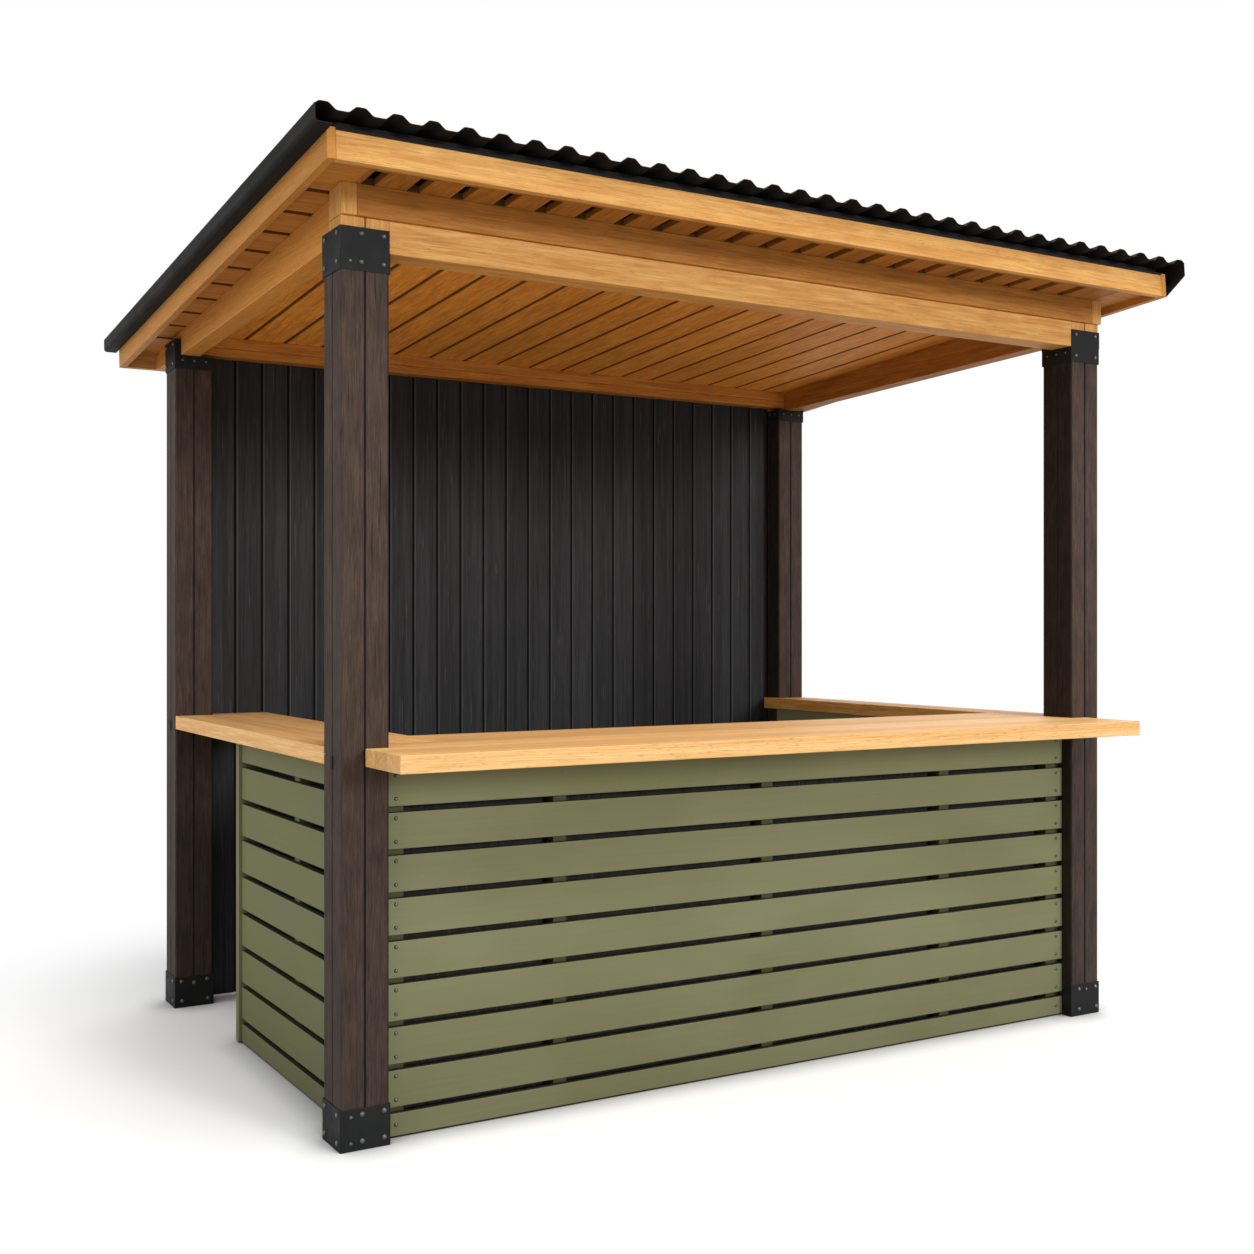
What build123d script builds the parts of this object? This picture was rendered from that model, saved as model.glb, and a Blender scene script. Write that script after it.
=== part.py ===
from build123d import *
import os
from math import cos, hypot, radians, sin, tan

# A timber garden bar with a lean-to roof. Millimetres, +Z up, +Y to the back.
# The origin lies on the ground under the middle of the roof.

# Frame of four posts, over their outer faces
FRAME_WIDTH = 2946
FRAME_DEPTH = 1944
POST = 140
POST_ARRIS = 4
POST_SEAM = 5
FRONT_POST_TOP = 2468

# Steel shoes under the posts and steel caps over them
PLATE = 3
PLATE_FIT = 0.3
SHOE_HEIGHT = 115
SHOE_BASE = 6
FRONT_CAP_LAP = 56
REAR_CAP_LAP = 52
FRONT_CAP_TAB = 23
FRONT_CAP_RISE_SHARE = 0.68
REAR_CAP_RISE_SHARE = 0.85

# Beams that carry the roof
FRONT_BEAM = 95
LOWER_BEAM = 92
UPPER_BEAM = 86
UPPER_PROUD = 12
CORNER_BLOCK = 46
CORNER_PROUD = 4
SIDE_BEAM = 70
SIDE_BEAM_INSET = 20
SIDE_BEAM_STEP = 39
REAR_BEAM = 95
REAR_BEAM_HEIGHT = 68
REAR_BEAM_LIFT = 12
BEAM_SEAM = 5

# Roof, falling to the back: its slope and that of the boards under it, its reach past the posts,
# and the thickness of each layer
ROOF_SLOPE = 4.05
BOARD_SLOPE = 3.1
FRONT_REACH = 216
REAR_REACH = 290
SIDE_REACH = 115
FASCIA = 25
FASCIA_DROP = 25
FASCIA_RISE = 58
ROOF_BOARD = 20
BOARD_BEARING = 13
BATTEN_WIDTH = 45
BATTEN_HEIGHT = 62
BATTEN_SPACING = 480

# Roof boards: joints in the ceiling, and air slots in the overhangs
BOARD_PITCH = 153.5
BOARD_SHIFT = 47
BOARD_JOINT = 11
BOARD_JOINT_DEPTH = 11
EAVE_SLOT_WIDTH = 40
EAVE_SLOT_LENGTH = 110
EAVE_SLOT_PITCH = 132.9
EAVE_SLOT_SHIFT = 72
VERGE_SLOT_WIDTH = 28
VERGE_SLOT_LENGTH = 84
VERGE_SLOT_PITCH = 204
VERGE_SLOTS = 10

# Ribbed roof sheet and its flashings
SHEET = 2
SHEET_FIT = 0.3
SHEET_DRIP = 48
RIB_PITCH = 100
RIB_HEIGHT = 18
RIB_CREST = 26
RIB_FLANK = 20
RIB_RADIUS = 14
EDGE_TURN = 8
EDGE_TURN_WIDTH = 9
FLASHING = 2
VERGE_DRIP = 47
VERGE_FACE = 48
VERGE_BEND = 12
EAVE_LIP = 8

# Counter, in one front length and two wings
COUNTER_TOP = 1100
COUNTER = 50
COUNTER_FIT = 0.5
COUNTER_OVERHANG = 255
COUNTER_INSIDE = 405
LEFT_WING = 366
RIGHT_WING = 165

# Slatted panels under the counter, on uprights, with a lining behind
FRONT_SLAT = 103
FRONT_TOP_SLAT = 103
SIDE_SLAT = 108.5
SIDE_TOP_SLAT = 66
SLAT_GAP = 17.6
SLAT_THICKNESS = 20
SLAT_TOP_GAP = 16
PANEL_FOOT = 5
PANEL_FIT = 0.4
UPRIGHT = 45
END_UPRIGHT = 64
LINING = 9
FRONT_PANEL_RECESS = 41
SIDE_PANEL_RECESS = 80
LEFT_PANEL_LENGTH = 1105
END_TRIM = 34
TRIM_PROUD = 11
INNER_UPRIGHT_SHARE = 0.59

# Boarded back wall
WALL_BOARD = 22
WALL_BOARD_PITCH = 106.5
WALL_SEAM = 8
WALL_FOOT = 12
WALL_SETBACK = 14
WALL_FIT = 0.3
WALL_RAIL_HEIGHT = 70
WALL_RAIL_SHARES = (0.06, 0.5, 0.94)

# One overrun for every cut
OVERRUN = 10

# Faces across the width
POST_OUTER = FRAME_WIDTH / 2
POST_INNER = POST_OUTER - POST
POST_MIDDLE = POST_OUTER - POST / 2
SIDE_BEAM_OUTER = POST_OUTER - SIDE_BEAM_INSET
SIDE_BEAM_INNER = SIDE_BEAM_OUTER - SIDE_BEAM
BARGE_OUTER = POST_OUTER + SIDE_REACH
BARGE_INNER = BARGE_OUTER - FASCIA
ROOF_OUTER = BARGE_OUTER + VERGE_DRIP
BOARDS_OUTER = SIDE_BEAM_OUTER - BOARD_BEARING

# How far the shoes and caps stand out from the posts
PLATE_PROUD = PLATE_FIT + PLATE

# Levels of the roof's layers, square to the slope, above the underside of the boards
SHEET_LEVEL = ROOF_BOARD + BATTEN_HEIGHT
CREST_LEVEL = SHEET_LEVEL + SHEET + RIB_HEIGHT
VERGE_LEVEL = CREST_LEVEL - EDGE_TURN
VERGE_FOOT = VERGE_LEVEL - VERGE_FACE
CAPPING_LEVEL = FASCIA_RISE + FLASHING

# Places along the slope, from the line over the front faces of the posts
COS = cos(radians(ROOF_SLOPE))
SIN = sin(radians(ROOF_SLOPE))
BOARD_COS = cos(radians(BOARD_SLOPE))
BOARD_SIN = sin(radians(BOARD_SLOPE))
BOARD_TAN = tan(radians(BOARD_SLOPE))
WEDGE_COS = cos(radians(ROOF_SLOPE - BOARD_SLOPE))
WEDGE_TAN = tan(radians(ROOF_SLOPE - BOARD_SLOPE))
UPPER_BACK = FRONT_BEAM - UPPER_PROUD
REAR_BEAM_BACK = FRAME_DEPTH - POST / 2 + REAR_BEAM / 2
FASCIA_FRONT = -FRONT_REACH
FASCIA_REAR = FRAME_DEPTH / COS + REAR_REACH
SHEET_FRONT = FASCIA_FRONT - SHEET_DRIP
SHEET_REAR = FASCIA_REAR + SHEET_DRIP
BOARDS_FRONT = (BOARD_BEARING - UPPER_PROUD) / BOARD_COS
BOARDS_REAR = (REAR_BEAM_BACK - BOARD_BEARING) / BOARD_COS
BOARDS_START = (FASCIA_FRONT + FASCIA) / WEDGE_COS + ROOF_BOARD * WEDGE_TAN
BOARDS_END = (FASCIA_REAR - FASCIA) / WEDGE_COS

# The front faces of the posts, placed so that the roof is centred over the origin
FRONT_EDGE = SHEET_FRONT * COS - FASCIA_DROP * SIN
REAR_EDGE = SHEET_REAR * COS + CREST_LEVEL * SIN
FRONT = -(FRONT_EDGE + REAR_EDGE) / 2
REAR = FRONT + FRAME_DEPTH

# Heights that follow from the front posts and the slope
LOWER_BEAM_TOP = FRONT_POST_TOP + LOWER_BEAM
SOFFIT = LOWER_BEAM_TOP + UPPER_BEAM
REAR_BEAM_FOOT = SOFFIT - FRAME_DEPTH * BOARD_TAN - REAR_BEAM_HEIGHT
REAR_POST_TOP = REAR_BEAM_FOOT - REAR_BEAM_LIFT
COUNTER_BOTTOM = COUNTER_TOP - COUNTER
WALL_FACE = REAR - POST / 2 + WALL_SETBACK

# Two sloping frames that meet over the front faces of the posts
ROOF = Plane(origin=(0, FRONT, SOFFIT), x_dir=(1, 0, 0), z_dir=(0, SIN, COS))
BOARDS = Plane(origin=(0, FRONT, SOFFIT), x_dir=(1, 0, 0), z_dir=(0, BOARD_SIN, BOARD_COS))

SIDES = {"left": -1, "right": 1}
WINGS = {-1: LEFT_WING, 1: RIGHT_WING}

# The right verge flashing runs on down to the foot of its barge board
VERGE_FEET = {-1: VERGE_FOOT, 1: -FASCIA_DROP}


def block(x, y, z):
    """A box between the two limits given for each axis, in either order."""
    middles = [sum(limits) / len(limits) for limits in (x, y, z)]
    lengths = [max(limits) - min(limits) for limits in (x, y, z)]
    return Pos(*middles) * Box(*lengths)


def roof_block(x, along, level):
    """A box in the roof's own frame: across, along the slope and square to it."""
    return ROOF.location * block(x, along, level)


def board_block(x, along, level):
    """A box in the frame of the roof boards, which fall less than the sheet."""
    return BOARDS.location * block(x, along, level)


def along_slope(plane, profile, start, end):
    """A section across the roof, drawn as width and level, run down a slope."""
    return plane.location * Pos(0, end, 0) * Rot(90, 0, 0) * extrude(profile, end - start)


def across(points, x):
    """A section drawn as depth and height, run across the width."""
    plane = Plane(origin=(min(x), 0, 0), x_dir=(0, 1, 0), z_dir=(1, 0, 0))
    section = make_face(Polyline(*points, close=True))
    return plane.location * extrude(section, max(x) - min(x))


def both(side, inner, outer):
    """Limits across the width on one side of the middle."""
    return (side * inner, side * outer)


def spread(count, pitch):
    """Places in an even row, centred on zero."""
    return [(i - (count - 1) / 2) * pitch for i in range(count)]


def diamond(width, height, place):
    """Cutter for a V seam: a square on its corner."""
    return Pos(*place) * Rot(0, 0, 45) * Rectangle(width, height)


def soffit_height(depth):
    """Height of the underside of the roof boards at a distance behind the posts' front."""
    return SOFFIT - depth * BOARD_TAN


# Posts

def post(x, y, top):
    """A square post with eased corners and a V seam down each face."""
    section = chamfer(Rectangle(POST, POST).vertices(), POST_ARRIS)
    for quarter in range(4):
        section -= Rot(0, 0, 90 * quarter) * diamond(POST_SEAM, POST_SEAM, (POST / 2, 0))
    return Pos(x, y, SHOE_BASE) * extrude(section, top - SHOE_BASE)


def sleeve_section():
    """Folded plate round a post."""
    inner = POST + 2 * PLATE_FIT
    outer = inner + 2 * PLATE
    return RectangleRounded(outer, outer, PLATE) - Rectangle(inner, inner)


def shoe(x, y):
    """A steel cup that the post stands in."""
    outer = POST + 2 * PLATE_PROUD
    base = extrude(RectangleRounded(outer, outer, PLATE), SHOE_BASE)
    wall = extrude(sleeve_section(), SHOE_HEIGHT)
    return Pos(x, y, 0) * (base + wall)


def cap(side, x, y, top, lap, rise, facing):
    """A sleeve on the post's head, with outer plates that rise beside the beams.

    facing is -1 on the front posts, whose front plate rises too, with an inner tab behind the
    front beam, and 1 on the rear ones.
    """
    near = POST / 2 + PLATE_FIT
    far = POST / 2 + PLATE_PROUD
    beam_face = POST / 2 - SIDE_BEAM_INSET
    up = (0, rise)
    plates = Pos(0, 0, -lap) * extrude(sleeve_section(), lap)
    plates += block(both(side, near, far), (-far + PLATE, far - PLATE), up)
    plates += block(both(side, beam_face, far), (-facing * near, -facing * far), up)
    if facing < 0:
        plates += block((-far + PLATE, far - PLATE), (facing * near, facing * far), up)
        plates += block(both(side, near, far), (facing * near, facing * far), up)
        behind = FRONT_BEAM - POST / 2 + PLATE_FIT
        plates += block(both(-side, near, far), (behind, far), (0, FRONT_CAP_TAB))
    else:
        plates += block(both(side, beam_face, far), (facing * near, facing * far), up)
    return Pos(x, y, top) * plates


# Beams

def front_beam_lower():
    return block((-POST_INNER, POST_INNER), (FRONT, FRONT + FRONT_BEAM), (FRONT_POST_TOP, LOWER_BEAM_TOP))


def upper_section():
    """The upper beam's section: proud of the lower one, its top cut to the slope."""
    return [
        (FRONT - UPPER_PROUD, LOWER_BEAM_TOP),
        (FRONT + UPPER_BACK, LOWER_BEAM_TOP),
        (FRONT + UPPER_BACK, soffit_height(UPPER_BACK)),
        (FRONT - UPPER_PROUD, soffit_height(-UPPER_PROUD)),
    ]


def front_beam_upper():
    end = POST_OUTER + CORNER_PROUD - CORNER_BLOCK
    return across(upper_section(), (-end, end))


def corner_block(side):
    end = POST_OUTER + CORNER_PROUD
    return across(upper_section(), both(side, end - CORNER_BLOCK, end))


def post_head(side):
    """The block that carries the front post on up to the upper beam, seamed like the post."""
    middle = FRONT_POST_TOP, LOWER_BEAM_TOP
    head = block(both(side, POST_INNER, POST_OUTER), (FRONT, FRONT + FRONT_BEAM), middle)
    seam = extrude(diamond(POST_SEAM, POST_SEAM, (side * POST_MIDDLE, FRONT)), LOWER_BEAM)
    return head - Pos(0, 0, FRONT_POST_TOP) * seam


def side_beam(side):
    """A beam that tapers with the roof, seated on both posts, its tail run on to the rear fascia.

    Its underside steps up behind the front post.
    """
    seat = POST + PLATE_PROUD
    tail = FASCIA_REAR - FASCIA
    tail_top = tail * WEDGE_TAN
    tail_foot = (REAR_POST_TOP - SOFFIT + tail * SIN) / COS
    points = [
        (FRONT + FRONT_BEAM, FRONT_POST_TOP),
        (FRONT + seat, FRONT_POST_TOP),
        (FRONT + seat, FRONT_POST_TOP + SIDE_BEAM_STEP),
        (REAR - seat, REAR_POST_TOP),
        (FRONT + tail * COS + tail_foot * SIN, REAR_POST_TOP),
        (FRONT + tail * COS + tail_top * SIN, SOFFIT - tail * SIN + tail_top * COS),
        (FRONT + UPPER_BACK, soffit_height(UPPER_BACK)),
        (FRONT + UPPER_BACK, LOWER_BEAM_TOP),
        (FRONT + FRONT_BEAM, LOWER_BEAM_TOP),
    ]
    return across(points, both(side, SIDE_BEAM_INNER, SIDE_BEAM_OUTER))


def rear_beam():
    """The beam over the back wall, between the side beams, with a seam along its front face."""
    back = REAR_BEAM_BACK
    front = back - REAR_BEAM
    points = [
        (FRONT + front, REAR_BEAM_FOOT),
        (FRONT + back, REAR_BEAM_FOOT),
        (FRONT + back, soffit_height(back)),
        (FRONT + front, soffit_height(front)),
    ]
    length = 2 * SIDE_BEAM_INNER
    seam = Rot(45, 0, 0) * Box(length + OVERRUN, BEAM_SEAM, BEAM_SEAM)
    middle = REAR_BEAM_FOOT + REAR_BEAM_HEIGHT / 2
    beam = across(points, (-SIDE_BEAM_INNER, SIDE_BEAM_INNER))
    return beam - Pos(0, FRONT + front, middle) * seam


# Roof

def board_joints():
    """Joints between the boards that run down the slope, set a little to the left."""
    count = int(2 * BOARDS_OUTER / BOARD_PITCH)
    places = [x - BOARD_SHIFT for x in spread(count, BOARD_PITCH)]
    return [x for x in places if abs(x) + BOARD_JOINT < BOARDS_OUTER]


def ceiling_boards():
    boards = Pos(0, ROOF_BOARD / 2) * Rectangle(2 * BOARDS_OUTER, ROOF_BOARD)
    for x in board_joints():
        boards -= Pos(x, 0) * Rectangle(BOARD_JOINT, 2 * BOARD_JOINT_DEPTH)
    return along_slope(BOARDS, boards, BOARDS_FRONT, BOARDS_REAR)


def eave_soffit(inner, outer, slot_start, slot_end):
    """Boards under an eave, with a row of air slots that starts nearer the left."""
    width = (-BOARDS_OUTER, BOARDS_OUTER)
    soffit = board_block(width, (inner, outer), (0, ROOF_BOARD))
    count = int(2 * BOARDS_OUTER / EAVE_SLOT_PITCH)
    cuts = []
    for x in spread(count, EAVE_SLOT_PITCH):
        middle = x - EAVE_SLOT_SHIFT
        limits = (middle - EAVE_SLOT_WIDTH / 2, middle + EAVE_SLOT_WIDTH / 2)
        if min(limits) > -BOARDS_OUTER:
            cuts.append(board_block(limits, (slot_start, slot_end), (-OVERRUN, ROOF_BOARD + OVERRUN)))
    return soffit - cuts


def soffit_front():
    beam_face = -UPPER_PROUD / BOARD_COS
    return eave_soffit(BOARDS_START, BOARDS_FRONT, beam_face - EAVE_SLOT_LENGTH, beam_face)


def soffit_rear():
    beam_face = REAR_BEAM_BACK / BOARD_COS
    return eave_soffit(BOARDS_REAR, BOARDS_END, beam_face, beam_face + EAVE_SLOT_LENGTH)


def soffit_side(side):
    """Boards under a verge, with air slots across them."""
    ends = (BOARDS_START, BOARDS_END)
    soffit = board_block(both(side, BOARDS_OUTER, BARGE_INNER), ends, (0, ROOF_BOARD))
    middle = (max(ends) + min(ends)) / 2
    cuts = []
    for place in spread(VERGE_SLOTS, VERGE_SLOT_PITCH):
        limits = (middle + place - VERGE_SLOT_WIDTH / 2, middle + place + VERGE_SLOT_WIDTH / 2)
        reach = both(side, SIDE_BEAM_OUTER, SIDE_BEAM_OUTER + VERGE_SLOT_LENGTH)
        cuts.append(board_block(reach, limits, (-OVERRUN, ROOF_BOARD + OVERRUN)))
    return soffit - cuts


def fascia(start):
    """A board across the end of the roof, between the barge boards."""
    width = (-BARGE_INNER, BARGE_INNER)
    return roof_block(width, (start, start + FASCIA), (-FASCIA_DROP, FASCIA_RISE))


def barge_board(side):
    width = both(side, BARGE_INNER, BARGE_OUTER)
    return roof_block(width, (FASCIA_FRONT, FASCIA_REAR), (-FASCIA_DROP, CAPPING_LEVEL))


def roof_battens():
    """Battens across the boards, one against each fascia and the rest evenly between.

    They lie under the sheet and are cut below to the boards, so they thin to the back.
    """
    first = FASCIA_FRONT + FASCIA
    last = FASCIA_REAR - FASCIA - BATTEN_WIDTH
    bays = max(1, round((last - first) / BATTEN_SPACING))
    boards = (BOARDS_START - OVERRUN, BOARDS_END + OVERRUN)
    under = board_block((-BARGE_OUTER, BARGE_OUTER), boards, (-BATTEN_HEIGHT, ROOF_BOARD))
    battens = []
    for i in range(bays + 1):
        start = first + (last - first) * i / bays
        limits = (start, start + BATTEN_WIDTH)
        battens.append(roof_block((-BARGE_INNER, BARGE_INNER), limits, (0, SHEET_LEVEL)) - under)
    return Compound(children=battens)


def roof_sheet():
    """Ribbed sheet: flat crests and valleys joined by sloping flanks, every bend rounded.

    It ends on a crest at each side, with the edge turned down into the verge flashing.
    """
    edge = ROOF_OUTER - FLASHING - SHEET_FIT
    turn = edge - EDGE_TURN_WIDTH
    span = 2 * turn - RIB_CREST
    ribs = max(1, round(span / RIB_PITCH))
    pitch = span / ribs
    half = RIB_CREST / 2
    line = [(-edge, RIB_HEIGHT - EDGE_TURN), (-turn, RIB_HEIGHT)]
    for x in spread(ribs, pitch):
        left = x - pitch / 2 + half
        right = x + pitch / 2 - half
        line += [(left, RIB_HEIGHT), (left + RIB_FLANK, 0), (right - RIB_FLANK, 0), (right, RIB_HEIGHT)]
    line += [(turn, RIB_HEIGHT), (edge, RIB_HEIGHT - EDGE_TURN)]
    under = FilletPolyline(*line, radius=RIB_RADIUS)
    over = Pos(0, SHEET) * under
    ends = [Line(under @ 0, over @ 0), Line(under @ 1, over @ 1)]
    section = make_face([under, over, *ends])
    return along_slope(ROOF, Pos(0, SHEET_LEVEL) * section, SHEET_FRONT, SHEET_REAR)


def flashing_mitre(side, tip, heel, foot):
    """Cutter that slants an end of a verge flashing's return, from the sheet's edge to the fascia."""
    past = tip + tip - heel
    under = foot - OVERRUN
    points = [(past, VERGE_FOOT), (tip, VERGE_FOOT), (heel, foot), (heel, under), (past, under)]
    return ROOF.location * across(points, both(side, BARGE_INNER, ROOF_OUTER + OVERRUN))


def verge_flashing(side):
    """A folded trough along the side of the sheet, turned back to the barge board below.

    Where the return runs on down the barge board, its ends are cut on the slant.
    """
    foot = VERGE_FEET[side]
    slant = hypot(VERGE_DRIP, VERGE_FOOT - foot) / VERGE_DRIP
    inner = ROOF_OUTER - FLASHING
    outside = [(BARGE_OUTER, foot), (ROOF_OUTER, VERGE_FOOT), (ROOF_OUTER, VERGE_LEVEL)]
    inside = [(BARGE_OUTER, foot + slant * FLASHING), (inner, VERGE_FOOT + FLASHING), (inner, VERGE_LEVEL)]
    bends = []
    for points, radius in ((outside, VERGE_BEND), (inside, VERGE_BEND - FLASHING)):
        bends.append(FilletPolyline(*[(side * x, level) for x, level in points], radius=radius))
    over, under = bends
    section = make_face([over, under, Line(over @ 0, under @ 0), Line(over @ 1, under @ 1)])
    trough = along_slope(ROOF, section, SHEET_FRONT, SHEET_REAR)
    if foot < VERGE_FOOT:
        trough -= flashing_mitre(side, SHEET_FRONT, FASCIA_FRONT, foot)
        trough -= flashing_mitre(side, SHEET_REAR, FASCIA_REAR, foot)
    return trough


def eave_flashings():
    """Folded strips over the top edges of the two fascias, turned up to the sheet."""
    width = (-BARGE_INNER, BARGE_INNER)
    strips = []
    for face, outward in ((FASCIA_FRONT, -1), (FASCIA_REAR, 1)):
        nose = face + outward * FLASHING
        back = face - outward * FASCIA
        leg = roof_block(width, (back, nose), (FASCIA_RISE, CAPPING_LEVEL))
        lip = roof_block(width, (face, nose), (CAPPING_LEVEL - EAVE_LIP, CAPPING_LEVEL))
        upstand = roof_block(width, (back, back + outward * FLASHING), (FASCIA_RISE, SHEET_LEVEL))
        strips.append(leg + lip + upstand)
    return Compound(children=strips)


# Counter

def post_hole(side, front):
    """Room for a post in the counter, with clearance all round."""
    limits = (front - COUNTER_FIT, front + POST + COUNTER_FIT)
    width = both(side, POST_INNER - COUNTER_FIT, POST_OUTER + OVERRUN)
    return block(width, limits, (COUNTER_BOTTOM - OVERRUN, COUNTER_TOP + OVERRUN))


def wing_inner(side):
    return POST_OUTER - WINGS[side]


def counter_front():
    """The front length, let in round the posts and between the wings."""
    level = (COUNTER_BOTTOM, COUNTER_TOP)
    width = (-POST_MIDDLE, POST_MIDDLE)
    slab = block(width, (FRONT - COUNTER_OVERHANG, FRONT + COUNTER_INSIDE), level)
    clear = (COUNTER_BOTTOM - OVERRUN, COUNTER_TOP + OVERRUN)
    for side in SIDES.values():
        slab -= post_hole(side, FRONT)
        behind = (FRONT + POST, FRONT + COUNTER_INSIDE + OVERRUN)
        slab -= block(both(side, wing_inner(side), POST_OUTER), behind, clear)
    return slab


def counter_wing(side):
    """A side length, from the front post to the back wall, let in round the rear post."""
    depth = (FRONT + POST + COUNTER_FIT, WALL_FACE - COUNTER_FIT)
    slab = block(both(side, wing_inner(side), POST_OUTER), depth, (COUNTER_BOTTOM, COUNTER_TOP))
    return slab - post_hole(side, REAR - POST)


# Slatted panels

def slat_levels(first, slat):
    """Lower and upper edge of each slat, from the counter down; the lowest is cut at the foot."""
    levels = []
    top = COUNTER_BOTTOM - SLAT_TOP_GAP
    height = first
    while top - SLAT_GAP > PANEL_FOOT:
        levels.append((max(top - height, PANEL_FOOT), top))
        top -= height + SLAT_GAP
        height = slat
    return levels


def front_panel_end():
    """Half the front panel's width, clear of the shoes."""
    return POST_INNER - PLATE_PROUD - PANEL_FIT


def front_slats():
    face = FRONT + FRONT_PANEL_RECESS
    end = front_panel_end()
    width = (-end, end)
    levels = slat_levels(FRONT_TOP_SLAT, FRONT_SLAT)
    return Compound(children=[block(width, (face, face + SLAT_THICKNESS), z) for z in levels])


def front_uprights():
    """Uprights behind the front slats: at both ends, in the middle and between."""
    back = FRONT + FRONT_PANEL_RECESS + SLAT_THICKNESS
    end = front_panel_end() - END_UPRIGHT / 2
    inner = INNER_UPRIGHT_SHARE * end
    height = (PANEL_FOOT, COUNTER_BOTTOM)
    widths = {-end: END_UPRIGHT, -inner: UPRIGHT, 0: UPRIGHT, inner: UPRIGHT, end: END_UPRIGHT}
    uprights = []
    for x, width in widths.items():
        limits = (x - width / 2, x + width / 2)
        uprights.append(block(limits, (back, back + UPRIGHT), height))
    return Compound(children=uprights)


def side_panel_face():
    return POST_OUTER - SIDE_PANEL_RECESS


def side_panel_ends(side):
    """Where a side panel starts, at the front post, and where its end trim starts and ends.

    The left panel stops short and leaves a way in. The right one runs on to the rear post.
    """
    start = FRONT + POST + PLATE_PROUD + PANEL_FIT
    ends = {-1: FRONT + POST + LEFT_PANEL_LENGTH, 1: REAR - POST - PLATE_PROUD - PANEL_FIT}
    return start, ends[side] - END_TRIM, ends[side]


def side_slats(side):
    face = side_panel_face()
    start, trim, _ = side_panel_ends(side)
    width = both(side, face - SLAT_THICKNESS, face)
    levels = slat_levels(SIDE_TOP_SLAT, SIDE_SLAT)
    return Compound(children=[block(width, (start, trim), z) for z in levels])


def side_uprights(side):
    """Uprights behind the side slats, and the trim post that ends the panel."""
    face = side_panel_face()
    back = face - SLAT_THICKNESS
    start, trim, end = side_panel_ends(side)
    height = (PANEL_FOOT, COUNTER_BOTTOM)
    middle = (start + trim) / 2
    width = both(side, back - UPRIGHT, back)
    first = block(width, (start, start + UPRIGHT), height)
    second = block(width, (middle - UPRIGHT / 2, middle + UPRIGHT / 2), height)
    last = block(both(side, back - UPRIGHT, face + TRIM_PROUD), (trim, end), height)
    return Compound(children=[first, second, last])


def panel_linings():
    """A sheet behind the uprights of each panel, which shows dark between the slats."""
    height = (PANEL_FOOT, COUNTER_BOTTOM)
    half = front_panel_end()
    front = FRONT + FRONT_PANEL_RECESS + SLAT_THICKNESS + UPRIGHT
    linings = [block((-half, half), (front, front + LINING), height)]
    outer = side_panel_face() - SLAT_THICKNESS - UPRIGHT
    for side in SIDES.values():
        start, _, end = side_panel_ends(side)
        linings.append(block(both(side, outer - LINING, outer), (start, end), height))
    return Compound(children=linings)


# Back wall

def wall_end():
    """Half the wall's width, clear of the shoes and caps."""
    return POST_INNER - PLATE_PROUD - WALL_FIT


def back_wall():
    """Upright boards with a V joint on both faces, from near the ground to the rear beam."""
    width = 2 * wall_end()
    boards = max(1, round(width / WALL_BOARD_PITCH))
    pitch = width / boards
    section = Rectangle(width, WALL_BOARD)
    for x in spread(boards - 1, pitch):
        for face in (-WALL_BOARD / 2, WALL_BOARD / 2):
            section -= diamond(WALL_SEAM, WALL_SEAM, (x, face))
    return Pos(0, WALL_FACE + WALL_BOARD / 2, WALL_FOOT) * extrude(section, REAR_BEAM_FOOT - WALL_FOOT)


def back_wall_rails():
    """Rails behind the boards, between the rear posts."""
    width = (-wall_end(), wall_end())
    rails = []
    for share in WALL_RAIL_SHARES:
        middle = WALL_FOOT + share * (REAR_BEAM_FOOT - WALL_FOOT)
        limits = (middle - WALL_RAIL_HEIGHT / 2, middle + WALL_RAIL_HEIGHT / 2)
        rails.append(block(width, (WALL_FACE + WALL_BOARD, REAR), limits))
    return Compound(children=rails)


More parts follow.
